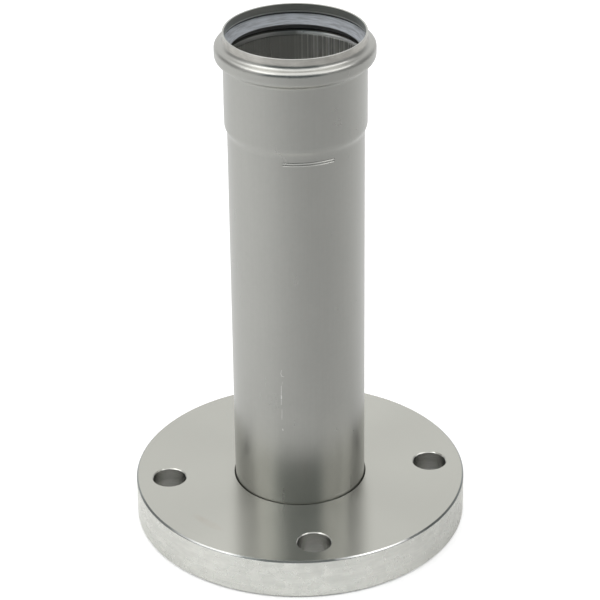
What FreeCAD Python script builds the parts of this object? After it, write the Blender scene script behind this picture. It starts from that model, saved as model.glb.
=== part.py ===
import FreeCAD, Part
import Sketcher
from dataclasses import dataclass
import math
import os

# Flanged pipe adapter: a thin stainless tube with a sealed push-in socket at its top, welded into a
# plate flange at its foot. Millimetres. The origin is the centre of the flange's sealing face, and
# +Z runs up the tube to the mouth. Two of the bolt holes lie on the X axis.

DRIVING_SIZES = [
    # the whole adapter
    ("overall_height", 300.0, "sealing face to the socket mouth"),
    ("pipe_diameter", 75.0, "outside of the tube, and of the pipe that its socket takes"),
    ("wall", 1.0, "sheet thickness of the tube, the same all the way up"),
    # plate flange
    ("flange_diameter", 190.5, "outside of the flange"),
    ("flange_thickness", 23.9, "flange plate, face to face"),
    ("flange_edge", 1.0, "45 degree break on both outer edges of the flange"),
    ("bore_clearance", 0.5, "gap on each side between the tube and the flange bore"),
    ("bore_edge", 0.3, "45 degree break where the tube enters the flange"),
    ("bolt_inset", 19.05, "outside of the flange in to the centre of a bolt hole"),
    ("bolt_hole", 19.05, "diameter of a bolt hole"),
    ("bolt_count", 4, "bolt holes, evenly spaced"),
    ("bolt_hole_edge", 0.5, "45 degree break on both ends of each bolt hole"),
    # foot of the tube
    ("end_setback", 3.0, "tube end above the sealing face"),
    ("weld_root", 1.5, "how far the weld reaches up between the tube and the bore"),
    ("weld_inset", 0.5, "weld toe above the sealing face"),
    ("weld_crown", 3.0, "radius of the weld's rounded face"),
    # socket
    ("socket_clearance", 0.5, "gap on each side between the inserted pipe and the socket"),
    ("socket_depth", 52.0, "mouth to the top of the shoulder"),
    ("shoulder_height", 6.2, "height of the S-shaped shoulder between socket and tube"),
    ("lip_height", 5.7, "collar, down to where the bead leaves it"),
    ("lip_edge", 0.2, "rounding of the collar's cut edge"),
    ("bead_height", 10.2, "height of the rolled bead where it leaves the tube"),
    ("bead_rise", 4.6, "how far the bead stands out from the socket"),
    ("bead_fall", 0.8, "how much lower the bead's top is at its outside"),
    ("bead_lift", 1.2, "how much higher the bead's foot is at its outside"),
    ("bead_top_bend", 1.7, "inner bend radius at the top of the bead"),
    ("bead_foot_bend", 2.3, "inner bend radius at the foot of the bead"),
    ("bead_root_bend", 2.7, "outer bend radius where the bead leaves the socket"),
    ("collar_root_bend", 2.6, "outer bend radius where the bead leaves the collar"),
    # seal ring
    ("seal_clearance", 0.1, "gap between the seal ring and the inside of the bead"),
    ("seal_squeeze", 2.1, "how far the sealing lip reaches inside the tube's outer radius"),
    ("seal_lip_drop", 5.2, "crown of the seal ring down to the tip of its lip"),
    ("seal_lip_thickness", 1.1, "sealing lip at its tip"),
    ("seal_lip_round", 0.4, "rounding of the sealing lip's tip"),
    ("seal_web", 3.6, "body of the seal ring, in to out"),
    # pressed mark under the shoulder
    ("mark_drop", 3.1, "foot of the shoulder down to the middle of the mark"),
    ("mark_pitch", 1.4, "between the two lines of the mark"),
    ("mark_line", 0.9, "height of one pressed line"),
    ("mark_depth", 0.4, "depth of one pressed line"),
    ("mark_span", 44.2, "degrees round the tube"),
    ("mark_turn", -85.0, "degrees from +X to the middle of the mark"),
]

DIAGONAL = math.sqrt(0.5)

doc = FreeCAD.newDocument("flanged_pipe_adapter")
sheet = doc.addObject("Spreadsheet::Sheet", "Sizes")


class Size:
    """A length as a number, which starts a sketch, and as a sheet formula, which binds it."""

    def __init__(self, value, formula):
        self.value = value
        self.formula = formula

    def __add__(self, other):
        return Size(self.value + other.value, f"({self.formula} + {other.formula})")

    def __sub__(self, other):
        return Size(self.value - other.value, f"({self.formula} - {other.formula})")

    def __mul__(self, other):
        other = other if isinstance(other, Size) else Size(other, str(other))
        return Size(self.value * other.value, f"({self.formula} * {other.formula})")

    def __truediv__(self, other):
        return Size(self.value / other.value, f"({self.formula} / {other.formula})")

    def root(self):
        return Size(math.sqrt(self.value), f"sqrt({self.formula})")


@dataclass(frozen=True)
class Corner:
    """A corner of a section. Where bend is given, the side that starts here is an arc of that radius."""

    across: Size
    up: Size
    bend: Size = None
    bends_left: bool = False


def fill_sheet():
    """Writes each driving size in a cell of its own and returns them by name."""
    sizes = {}
    for row, (alias, value, meaning) in enumerate(DRIVING_SIZES, start=1):
        sheet.set(f"A{row}", alias)
        sheet.set(f"B{row}", str(value))
        sheet.set(f"C{row}", meaning)
        sheet.setAlias(f"B{row}", alias)
        sizes[alias] = Size(value, f"Sizes.{alias}")
    doc.recompute()
    return sizes


size = fill_sheet()

# radii, all about the Z axis
pipe_radius = size["pipe_diameter"] * 0.5
pipe_bore = pipe_radius - size["wall"]
socket_bore = pipe_radius + size["socket_clearance"]
socket_radius = socket_bore + size["wall"]
bead_radius = socket_radius + size["bead_rise"]
flange_bore = pipe_radius + size["bore_clearance"]
flange_radius = size["flange_diameter"] * 0.5

# heights above the sealing face
ground = Size(0.0, "0")
one = Size(1.0, "1")
mouth = size["overall_height"]
bead_top = mouth - size["lip_height"]
bead_foot = bead_top - size["bead_height"]
bead_top_outside = bead_top - size["bead_fall"]
bead_foot_outside = bead_foot + size["bead_lift"]
shoulder_top = mouth - size["socket_depth"]
shoulder_foot = shoulder_top - size["shoulder_height"]
tube_end = size["end_setback"]


# slopes of the bead's top and foot, as rise over run, and the length along each for one across
top_slope = size["bead_fall"] / size["bead_rise"]
top_length = (one + top_slope * top_slope).root()
foot_slope = size["bead_lift"] / size["bead_rise"]
foot_length = (one + foot_slope * foot_slope).root()


def new_body(label):
    """A body whose label names its file."""
    body = doc.addObject("PartDesign::Body", label)
    body.Label = label
    return body


def plane_of(body, role):
    """One of the body's own origin planes."""
    return next(plane for plane in body.Origin.OriginFeatures if plane.Role == role)


def new_sketch(body, name, role):
    """An empty sketch on one of the body's origin planes."""
    sketch = body.newObject("Sketcher::SketchObject", name)
    sketch.AttachmentSupport = [(plane_of(body, role), "")]
    sketch.MapMode = "FlatFace"
    return sketch


def hold(sketch, kind, line, spot, length, name):
    """Ties one coordinate of a point to a sheet formula."""
    number = sketch.addConstraint(
        Sketcher.Constraint(kind, -1, 1, line, spot, length.value)
    )
    sketch.renameConstraint(number, name)
    sketch.setExpression(f"Constraints.{name}", length.formula)


def arc_between(start, end, corner):
    """The arc from start to end that bulges to the right of its way, or to the left."""
    chord = end - start
    radius = corner.bend.value
    sagitta = radius - math.sqrt(radius * radius - chord.Length * chord.Length / 4)
    outward = FreeCAD.Vector(chord.y, -chord.x, 0).normalize()
    if corner.bends_left:
        outward = outward * -1
    return Part.Arc(start, start + chord / 2 + outward * sagitta, end)


def draw_section(body, name, corners):
    """A closed section in the XZ plane, where across is the radius and up the height."""
    sketch = new_sketch(body, name, "XZ_Plane")
    spots = [FreeCAD.Vector(corner.across.value, corner.up.value, 0) for corner in corners]
    ends = []
    for number, corner in enumerate(corners):
        start = spots[number]
        end = spots[(number + 1) % len(spots)]
        side = arc_between(start, end, corner) if corner.bend else Part.LineSegment(start, end)
        sketch.addGeometry(side, False)
        first_gap = (sketch.getPoint(number, 1) - start).Length
        last_gap = (sketch.getPoint(number, 2) - start).Length
        ends.append((1, 2) if first_gap < last_gap else (2, 1))
    for number in range(len(corners)):
        following = (number + 1) % len(corners)
        joined = Sketcher.Constraint("Coincident", number, ends[number][1], following, ends[following][0])
        sketch.addConstraint(joined)
    for number, corner in enumerate(corners):
        hold(sketch, "DistanceX", number, ends[number][0], corner.across, f"across_{number}")
        hold(sketch, "DistanceY", number, ends[number][0], corner.up, f"up_{number}")
        if corner.bend:
            bend = sketch.addConstraint(Sketcher.Constraint("Radius", number, corner.bend.value))
            sketch.renameConstraint(bend, f"bend_{number}")
            sketch.setExpression(f"Constraints.bend_{number}", corner.bend.formula)
    return sketch


def turn(body, name, corners):
    """A full revolution of a section about the Z axis."""
    sketch = draw_section(body, f"{name}_section", corners)
    turned = body.newObject("PartDesign::Revolution", name)
    turned.Profile = sketch
    turned.ReferenceAxis = (sketch, ["V_Axis"])
    turned.Angle = 360
    doc.recompute()
    return turned


def ring_names(feature, rings):
    """The names of the circular edges about the Z axis at the given (radius, height) places."""
    names = []
    for radius, height in rings:
        for number, edge in enumerate(feature.Shape.Edges, start=1):
            curve = edge.Curve
            if not isinstance(curve, Part.Circle):
                continue
            off_axis = math.hypot(curve.Center.x, curve.Center.y)
            off_height = abs(curve.Center.z - height.value)
            if max(off_axis, off_height, abs(curve.Radius - radius.value)) < 1e-4:
                names.append(f"Edge{number}")
    return names


def dress(body, kind, base, name, edges, length):
    """A fillet or a chamfer on named edges, with its size bound to the sheet."""
    feature = body.newObject(f"PartDesign::{kind}", name)
    feature.Base = (base, edges)
    feature.setExpression("Radius" if kind == "Fillet" else "Size", length.formula)
    doc.recompute()
    return feature


def make_tube():
    """Tube, shoulder, socket, bead and collar: one formed sheet, so one wall thickness throughout."""
    body = new_body("socket_tube")
    rise = socket_radius - pipe_radius
    drop = size["shoulder_height"]
    shoulder_bend = (rise * rise + drop * drop) / (rise * 4)
    solid = turn(body, "outer_form", [
        Corner(ground, tube_end),
        Corner(pipe_radius, tube_end),
        Corner(pipe_radius, shoulder_foot, bend=shoulder_bend, bends_left=True),
        Corner(pipe_radius + rise * 0.5, shoulder_foot + drop * 0.5, bend=shoulder_bend),
        Corner(socket_radius, shoulder_top),
        Corner(socket_radius, bead_foot),
        Corner(bead_radius, bead_foot_outside),
        Corner(bead_radius, bead_top_outside),
        Corner(socket_radius, bead_top),
        Corner(socket_radius, mouth),
        Corner(ground, mouth),
    ])
    wall = size["wall"]
    bends = [
        ("bead_top_round", [(bead_radius, bead_top_outside)], size["bead_top_bend"] + wall),
        ("bead_foot_round", [(bead_radius, bead_foot_outside)], size["bead_foot_bend"] + wall),
        ("collar_root", [(socket_radius, bead_top)], size["collar_root_bend"]),
        ("socket_root", [(socket_radius, bead_foot)], size["bead_root_bend"]),
    ]
    for name, rings, bend in bends:
        solid = dress(body, "Fillet", solid, name, ring_names(solid, rings), bend)
    hollow = body.newObject("PartDesign::Thickness", "wall_thickness")
    hollow.Base = (solid, end_faces(solid))
    hollow.Reversed = True
    hollow.setExpression("Value", wall.formula)
    doc.recompute()
    cut_edges = ring_names(hollow, [(socket_radius, mouth), (socket_bore, mouth)])
    dress(body, "Fillet", hollow, "lip_rounding", cut_edges, size["lip_edge"])
    middle = shoulder_foot - size["mark_drop"]
    press_line(body, "upper_line", middle + size["mark_pitch"] * 0.5)
    press_line(body, "lower_line", middle - size["mark_pitch"] * 0.5)
    return body


def end_faces(feature):
    """The flat faces at the tube's two ends, which are left open."""
    return [
        f"Face{number}"
        for number, face in enumerate(feature.Shape.Faces, start=1)
        if isinstance(face.Surface, Part.Plane)
        and min(abs(face.CenterOfMass.z - end.value) for end in (tube_end, mouth)) < 1e-4
        and math.hypot(face.CenterOfMass.x, face.CenterOfMass.y) < 1e-4
    ]


def press_line(body, name, height):
    """One shallow V line pressed part of the way round the tube."""
    depth = size["mark_depth"]
    sketch = draw_section(body, f"{name}_section", [
        Corner(pipe_radius - depth, height),
        Corner(pipe_radius + depth, height - size["mark_line"]),
        Corner(pipe_radius + depth, height + size["mark_line"]),
    ])
    line = body.newObject("PartDesign::Groove", name)
    line.Profile = sketch
    line.ReferenceAxis = (sketch, ["V_Axis"])
    line.Midplane = True
    line.setExpression("Angle", size["mark_span"].formula)
    about_the_tube = FreeCAD.Rotation(FreeCAD.Vector(0, 1, 0), 1)
    sketch.AttachmentOffset = FreeCAD.Placement(FreeCAD.Vector(0, 0, 0), about_the_tube)
    sketch.setExpression("AttachmentOffset.Rotation.Angle", size["mark_turn"].formula)
    doc.recompute()


def make_flange():
    """Plate flange: a turned disc with its bore, drilled with a circle of bolt holes."""
    body = new_body("flange")
    top = size["flange_thickness"]
    disc = turn(body, "disc", [
        Corner(flange_bore, ground),
        Corner(flange_radius, ground),
        Corner(flange_radius, top),
        Corner(flange_bore, top),
    ])
    rims = ring_names(disc, [(flange_radius, ground), (flange_radius, top)])
    rimmed = dress(body, "Chamfer", disc, "outer_edges", rims, size["flange_edge"])
    mouth_edge = ring_names(rimmed, [(flange_bore, top)])
    dress(body, "Chamfer", rimmed, "bore_top_edge", mouth_edge, size["bore_edge"])
    sketch = new_sketch(body, "bolt_hole_place", "XY_Plane")
    reach = flange_radius - size["bolt_inset"]
    hole_radius = size["bolt_hole"] * 0.5
    outline = Part.Circle(FreeCAD.Vector(reach.value, 0, 0), FreeCAD.Vector(0, 0, 1), hole_radius.value)
    sketch.addGeometry(outline, False)
    sketch.addConstraint(Sketcher.Constraint("PointOnObject", 0, 3, -1))
    hold(sketch, "DistanceX", 0, 3, reach, "reach")
    bore = sketch.addConstraint(Sketcher.Constraint("Radius", 0, hole_radius.value))
    sketch.renameConstraint(bore, "bore")
    sketch.setExpression("Constraints.bore", hole_radius.formula)
    hole = body.newObject("PartDesign::Pocket", "bolt_hole")
    hole.Profile = sketch
    hole.Type = "ThroughAll"
    hole.Midplane = True
    doc.recompute()
    holes = body.newObject("PartDesign::PolarPattern", "bolt_holes")
    holes.Originals = [hole]
    holes.Axis = (sketch, ["N_Axis"])
    holes.Angle = 360
    holes.setExpression("Occurrences", size["bolt_count"].formula)
    body.Tip = holes
    doc.recompute()
    ends = hole_edges(holes, hole_radius.value)
    dress(body, "Chamfer", holes, "bolt_hole_edges", ends, size["bolt_hole_edge"])
    return body


def hole_edges(feature, radius):
    """The circular edges of a given radius, wherever they are."""
    return [
        f"Edge{number}"
        for number, edge in enumerate(feature.Shape.Edges, start=1)
        if isinstance(edge.Curve, Part.Circle) and abs(edge.Curve.Radius - radius) < 1e-4
    ]


def make_weld():
    """Weld ring: joins the tube's end and its outside to the bore, short of the sealing face."""
    body = new_body("weld_ring")
    root_top = tube_end + size["weld_root"]
    turn(body, "weld_form", [
        Corner(flange_bore, size["weld_inset"]),
        Corner(flange_bore, root_top),
        Corner(pipe_radius, root_top),
        Corner(pipe_radius, tube_end),
        Corner(pipe_bore, tube_end, bend=size["weld_crown"]),
    ])
    return body


def make_seal():
    """Rubber ring: its body fills the inside of the bead, and its lip slopes in and down."""
    body = new_body("seal_ring")
    gap = size["seal_clearance"]
    inset = size["wall"] + gap
    outside = bead_radius - inset
    inside = outside - size["seal_web"]
    ceiling = bead_top_outside + top_slope * inset - top_length * inset
    floor = bead_foot_outside - foot_slope * inset + foot_length * inset
    inner_floor = floor - foot_slope * size["seal_web"]
    hug = size["collar_root_bend"] + inset
    hug_centre = socket_radius + size["collar_root_bend"]
    hug_height = bead_top + size["collar_root_bend"] * (top_length - top_slope)
    hug_start_radius = hug_centre - hug * top_slope / top_length
    hug_start = hug_height - hug / top_length
    crown_radius = hug_centre - hug * DIAGONAL
    crown = hug_height - hug * DIAGONAL
    tip_radius = pipe_radius - size["seal_squeeze"]
    tip = crown - size["seal_lip_drop"]
    slant = size["seal_lip_thickness"] * DIAGONAL
    ring = turn(body, "ring_form", [
        Corner(outside, floor),
        Corner(outside, ceiling),
        Corner(hug_start_radius, hug_start, bend=hug, bends_left=True),
        Corner(crown_radius, crown),
        Corner(tip_radius, tip),
        Corner(tip_radius + slant, tip - slant),
        Corner(inside, tip + size["seal_lip_thickness"]),
        Corner(inside, inner_floor),
    ])
    rounds = [
        ("top_round", [(outside, ceiling)], size["bead_top_bend"] - gap),
        ("foot_round", [(outside, floor)], size["bead_foot_bend"] - gap),
        ("lip_round", [(tip_radius, tip), (tip_radius + slant, tip - slant)], size["seal_lip_round"]),
    ]
    for name, rings, radius in rounds:
        ring = dress(body, "Fillet", ring, name, ring_names(ring, rings), radius)
    return body


def failed_objects():
    """Every object of the document that did not compute, by label."""
    return [item.Label for item in doc.Objects if "Invalid" in item.State or "Error" in item.State]


def write_parts(bodies):
    """Checks each piece and writes it to a file of its own name."""
    broken = failed_objects()
    assert not broken, f"these did not compute: {broken}"
    for body in bodies:
        assert not body.Shape.isNull() and body.Shape.isValid(), f"{body.Label} is not a sound solid"
        assert len(body.Shape.Solids) == 1, f"{body.Label} is not one solid"
    os.makedirs("parts", exist_ok=True)
    for body in bodies:
        body.Shape.exportStep(f"parts/{body.Label}.step")
        box = body.Shape.BoundBox
        print(body.Label, "volume", round(body.Shape.Volume), "z", round(box.ZMin, 3), round(box.ZMax, 3),
              "x", round(box.XMin, 3), round(box.XMax, 3), "faces", len(body.Shape.Faces))


write_parts([make_tube(), make_flange(), make_weld(), make_seal()])
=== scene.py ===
"""Looks of the flanged pipe adapter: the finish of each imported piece, the light, the floor and the camera.

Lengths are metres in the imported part's own frame: the origin is the centre of the sealing face, and
+Z runs up the tube to the socket's mouth.
"""

import logging
import math
from dataclasses import dataclass, field
from enum import Enum

import bmesh
import bpy
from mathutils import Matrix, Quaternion, Vector


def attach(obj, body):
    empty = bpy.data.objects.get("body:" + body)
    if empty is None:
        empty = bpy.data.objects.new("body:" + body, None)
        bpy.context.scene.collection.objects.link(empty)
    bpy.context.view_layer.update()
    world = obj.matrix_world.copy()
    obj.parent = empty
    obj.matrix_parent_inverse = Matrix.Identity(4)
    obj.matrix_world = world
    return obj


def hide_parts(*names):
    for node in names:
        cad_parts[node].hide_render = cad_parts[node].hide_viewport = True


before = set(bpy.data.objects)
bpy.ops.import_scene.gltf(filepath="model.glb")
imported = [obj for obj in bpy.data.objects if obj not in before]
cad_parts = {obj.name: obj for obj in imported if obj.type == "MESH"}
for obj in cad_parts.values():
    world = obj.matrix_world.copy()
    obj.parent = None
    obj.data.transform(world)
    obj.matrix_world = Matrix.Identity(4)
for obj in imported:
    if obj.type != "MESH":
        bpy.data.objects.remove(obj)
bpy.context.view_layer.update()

MM = 0.001
QUARTER_TURN = 0.25
# A wall faces the axis where the dot product of its place and its normal is under this.
FACES_INWARD = -5.0 * MM
# Turn in radians and shift of each layer of hairlines, then how far they are drawn out, the noise level
# that they start from, how much of it the amount takes off, and the softness of their edges.
HAIRLINE_LAYERS = ((0.35, 1.7), (1.25, 4.3), (2.3, 8.9))
HAIRLINE_STRETCH = 26.0
HAIRLINE_FLOOR = 0.80
HAIRLINE_GAIN = 0.14
HAIRLINE_EDGE = 0.03
# What a divisor is held over: a radius on the floor, and the flat part of a direction.
LEAST_RADIUS = 0.01
LEAST_LENGTH = 0.001
# Where a scuff starts to fade and where it has gone, as shares of half its width.
SCUFF_CORE = 0.5
SCUFF_SPREAD = 1.4
# The share of a painted highlight on the edge break that has its full strength.
GLINT_CORE = 0.6

log = logging.getLogger("pipe_adapter")

Socket = bpy.types.NodeSocket
Colour = tuple[float, float, float, float]
# A mapping of one value: where it starts, where it ends, and the result at either end.
Span = tuple[float, float, float, float]

WHITE: Colour = (1.0, 1.0, 1.0, 1.0)


class Easing(Enum):
    """How a mapped value changes between its two ends."""

    LINEAR = "LINEAR"
    SMOOTH = "SMOOTHSTEP"


class Wiring:
    """Adds shader nodes to one tree and joins their sockets.

    Args:
        tree: the node tree that receives the nodes.
    """

    def __init__(self, tree: bpy.types.NodeTree) -> None:
        """Keeps the tree."""
        self.tree = tree

    def add(self, kind: str, **settings: object) -> bpy.types.Node:
        """Adds one node and sets its properties.

        Args:
            kind: the node's type name.
            settings: property names and their values.

        Returns:
            The new node.
        """
        node = self.tree.nodes.new(kind)
        for name, value in settings.items():
            setattr(node, name, value)
        return node

    def feed(self, socket: Socket, value: object) -> None:
        """Joins another socket to this one, or writes a plain value in it.

        Args:
            socket: the input to set.
            value: an output socket, a number, a colour or a vector.
        """
        if isinstance(value, Socket):
            self.tree.links.new(value, socket)
        else:
            socket.default_value = value

    def work_out(self, operation: str, *values: object, clamp: bool = False) -> Socket:
        """One math node.

        Args:
            operation: the name of the math operation.
            values: its inputs in order.
            clamp: whether the result is held between 0 and 1.

        Returns:
            The result's socket.
        """
        node = self.add("ShaderNodeMath", operation=operation, use_clamp=clamp)
        for socket, value in zip(node.inputs, values):
            self.feed(socket, value)
        return node.outputs[0]

    def times(self, first: object, second: object) -> Socket:
        """The product of two values."""
        return self.work_out("MULTIPLY", first, second)

    def plus(self, first: object, second: object) -> Socket:
        """The sum of two values."""
        return self.work_out("ADD", first, second)

    def minus(self, first: object, second: object) -> Socket:
        """The first value less the second."""
        return self.work_out("SUBTRACT", first, second)

    def along(self, first: object, second: object, way: tuple[object, object] | Vector) -> Socket:
        """How far a point in a plane lies along a direction.

        Args:
            first: the point's first coordinate.
            second: its second coordinate.
            way: the direction's two coordinates, as numbers or sockets.

        Returns:
            The dot product's socket.
        """
        return self.plus(self.times(first, way[0]), self.times(second, way[1]))

    def length(self, first: object, second: object) -> Socket:
        """The distance of a point in a plane from the plane's origin."""
        return self.work_out("SQRT", self.along(first, second, (first, second)))

    def ramp(self, value: object, low: float, high: float, start: float = 0.0, end: float = 1.0,
             easing: Easing = Easing.LINEAR) -> Socket:
        """Maps a range of one value onto another, held at both ends.

        Args:
            value: the value to map.
            low: where the range starts.
            high: where it ends.
            start: the result at low.
            end: the result at high.
            easing: how the result changes in between.

        Returns:
            The mapped value's socket.
        """
        node = self.add("ShaderNodeMapRange", interpolation_type=easing.value)
        for name, number in (("Value", value), ("From Min", low), ("From Max", high),
                             ("To Min", start), ("To Max", end)):
            self.feed(node.inputs[name], number)
        return node.outputs[0]

    def layers(self, *layers: tuple[object, Span]) -> Socket:
        """Maps several values and adds them up.

        Args:
            layers: pairs of a value and the span that maps it.

        Returns:
            The sum's socket.
        """
        mapped = [self.ramp(value, *span) for value, span in layers]
        total = mapped[0]
        for other in mapped[1:]:
            total = self.plus(total, other)
        return total

    def blend(self, amount: object, first: object, second: object) -> Socket:
        """Mixes two colours.

        Args:
            amount: 0 for the first colour, 1 for the second.
            first: a colour or a colour socket.
            second: a colour or a colour socket.

        Returns:
            The mixed colour's socket.
        """
        node = self.add("ShaderNodeMix", data_type="RGBA", clamp_factor=True)
        self.feed(node.inputs[0], amount)
        self.feed(node.inputs[6], first)
        self.feed(node.inputs[7], second)
        return node.outputs[2]

    def blend_values(self, amount: object, first: object, second: object) -> Socket:
        """Mixes two plain values.

        Args:
            amount: 0 for the first value, 1 for the second.
            first: a number or a value socket.
            second: a number or a value socket.

        Returns:
            The mixed value's socket.
        """
        node = self.add("ShaderNodeMix", data_type="FLOAT", clamp_factor=True)
        self.feed(node.inputs[0], amount)
        self.feed(node.inputs[2], first)
        self.feed(node.inputs[3], second)
        return node.outputs[0]

    def tint(self, colour: object, value: object) -> Socket:
        """Multiplies a colour by a brightness.

        Args:
            colour: a colour or a colour socket.
            value: the brightness, where 1 leaves the colour as it is.

        Returns:
            The new colour's socket.
        """
        node = self.add("ShaderNodeVectorMath", operation="SCALE")
        if isinstance(colour, Socket):
            self.tree.links.new(colour, node.inputs[0])
        else:
            node.inputs[0].default_value = colour[:3]
        self.feed(node.inputs["Scale"], value)
        return node.outputs[0]

    def place(self) -> tuple[Socket, Socket, Socket]:
        """The object's own x, y and z at the point that is shaded.

        Returns:
            Three value sockets in metres.
        """
        coordinates = self.add("ShaderNodeTexCoord")
        parts = self.add("ShaderNodeSeparateXYZ")
        self.feed(parts.inputs[0], coordinates.outputs["Object"])
        return parts.outputs[0], parts.outputs[1], parts.outputs[2]

    def polar(self) -> tuple[Socket, Socket, Socket]:
        """The point's angle about the Z axis, its radius and its height.

        Returns:
            Three value sockets: radians, metres and metres.
        """
        across, deep, up = self.place()
        angle = self.work_out("ARCTAN2", deep, across)
        return angle, self.length(across, deep), up

    def faces_axis(self) -> Socket:
        """A mask of the walls that face the Z axis.

        Returns:
            The mask's socket.
        """
        across, deep, _ = self.place()
        coordinates = self.add("ShaderNodeTexCoord")
        facing = self.add("ShaderNodeSeparateXYZ")
        self.feed(facing.inputs[0], coordinates.outputs["Normal"])
        outward = self.along(across, deep, (facing.outputs[0], facing.outputs[1]))
        return self.work_out("LESS_THAN", outward, FACES_INWARD)

    def inside_band(self, value: object, low: float, high: float, soft: float) -> Socket:
        """A mask that is 1 between two limits.

        Args:
            value: the value that is tested.
            low: lower limit.
            high: upper limit.
            soft: width of the change at each limit.

        Returns:
            The mask's socket.
        """
        rising = self.ramp(value, low - soft, low + soft, easing=Easing.SMOOTH)
        falling = self.ramp(value, high - soft, high + soft, 1.0, 0.0, easing=Easing.SMOOTH)
        return self.times(rising, falling)


class EffectGroup:
    """A shader node group that several finishes share. It is built once and then reused.

    Args:
        name: the group's name.
        inputs: names and start values of its value inputs.
        outputs: names of its outputs, all of them values.
    """

    def __init__(self, name: str, inputs: dict[str, float], outputs: tuple[str, ...]) -> None:
        """Builds the group's tree and its sockets."""
        self.tree = bpy.data.node_groups.new(name, "ShaderNodeTree")
        for label, start in inputs.items():
            socket = self.tree.interface.new_socket(label, in_out="INPUT", socket_type="NodeSocketFloat")
            socket.default_value = start
        for label in outputs:
            self.tree.interface.new_socket(label, in_out="OUTPUT", socket_type="NodeSocketFloat")
        self.wires = Wiring(self.tree)
        self.given = self.wires.add("NodeGroupInput").outputs
        self.result = self.wires.add("NodeGroupOutput").inputs

    def put(self, wires: Wiring, **values: object) -> Socket:
        """Places the group in a material and sets its inputs.

        Args:
            wires: the material's wiring.
            values: the names of its inputs and their values.

        Returns:
            The group's first output.
        """
        node = wires.add("ShaderNodeGroup", node_tree=self.tree)
        for label, value in values.items():
            wires.feed(node.inputs[label], value)
        return node.outputs[0]


def grain_effect() -> EffectGroup:
    """Grain that runs round, up or out from the Z axis, with no seam where the angle starts again.

    Returns:
        The group. Its inputs are cells for each radian, each metre of height and each metre of radius.
    """
    group = EffectGroup("turned_grain", {"Round": 10.0, "Up": 100.0, "Out": 100.0, "Detail": 2.0}, ("Grain",))
    wires = group.wires
    angle, radius, height = wires.polar()
    spot = wires.add("ShaderNodeCombineXYZ")
    ring = group.given["Round"]
    wires.feed(spot.inputs[0], wires.times(wires.work_out("COSINE", angle), ring))
    wires.feed(spot.inputs[1], wires.times(wires.work_out("SINE", angle), ring))
    wires.feed(spot.inputs[2], wires.times(height, group.given["Up"]))
    noise = wires.add("ShaderNodeTexNoise", noise_dimensions="4D")
    wires.feed(noise.inputs["Vector"], spot.outputs[0])
    wires.feed(noise.inputs["W"], wires.times(radius, group.given["Out"]))
    wires.feed(noise.inputs["Scale"], 1.0)
    wires.feed(noise.inputs["Detail"], group.given["Detail"])
    wires.feed(group.result["Grain"], noise.outputs[0])
    return group


def cloud_effect() -> EffectGroup:
    """Soft blotches with no direction, sharpened about their middle value.

    Returns:
        The group. Its inputs are cells for each metre, how sharp the blotches are, and a shift to
        another part of the pattern.
    """
    group = EffectGroup("clouding", {"Scale": 100.0, "Sharpness": 1.0, "Shift": 0.0}, ("Cloud",))
    wires = group.wires
    coordinates = wires.add("ShaderNodeTexCoord")
    noise = wires.add("ShaderNodeTexNoise", noise_dimensions="4D")
    wires.feed(noise.inputs["Vector"], coordinates.outputs["Object"])
    wires.feed(noise.inputs["W"], group.given["Shift"])
    wires.feed(noise.inputs["Scale"], group.given["Scale"])
    wires.feed(noise.inputs["Detail"], 4.0)
    centred = wires.minus(noise.outputs[0], 0.5)
    spread = wires.times(centred, group.given["Sharpness"])
    wires.feed(group.result["Cloud"], wires.work_out("ADD", spread, 0.5, clamp=True))
    return group


def handling_effect() -> EffectGroup:
    """Fine crossing hairlines from handling.

    Returns:
        The group. Its inputs are cells for each metre and how much of the surface is marked.
    """
    group = EffectGroup("handling_marks", {"Scale": 60.0, "Amount": 0.5}, ("Marks",))
    wires = group.wires
    coordinates = wires.add("ShaderNodeTexCoord")
    layers = []
    for turn, shift in HAIRLINE_LAYERS:
        mapping = wires.add("ShaderNodeMapping")
        wires.feed(mapping.inputs["Vector"], coordinates.outputs["Object"])
        mapping.inputs["Location"].default_value = (shift, -shift, shift * 0.5)
        mapping.inputs["Rotation"].default_value = (turn, turn * 0.6, turn)
        mapping.inputs["Scale"].default_value = (1.0, HAIRLINE_STRETCH, 1.0)
        noise = wires.add("ShaderNodeTexNoise")
        wires.feed(noise.inputs["Vector"], mapping.outputs[0])
        wires.feed(noise.inputs["Scale"], group.given["Scale"])
        wires.feed(noise.inputs["Detail"], 1.0)
        high = wires.minus(HAIRLINE_FLOOR, wires.times(group.given["Amount"], HAIRLINE_GAIN))
        layers.append(wires.ramp(noise.outputs[0], high, wires.plus(high, HAIRLINE_EDGE)))
    both = wires.work_out("MAXIMUM", layers[0], layers[1])
    wires.feed(group.result["Marks"], wires.work_out("MAXIMUM", both, layers[2]))
    return group


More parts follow.
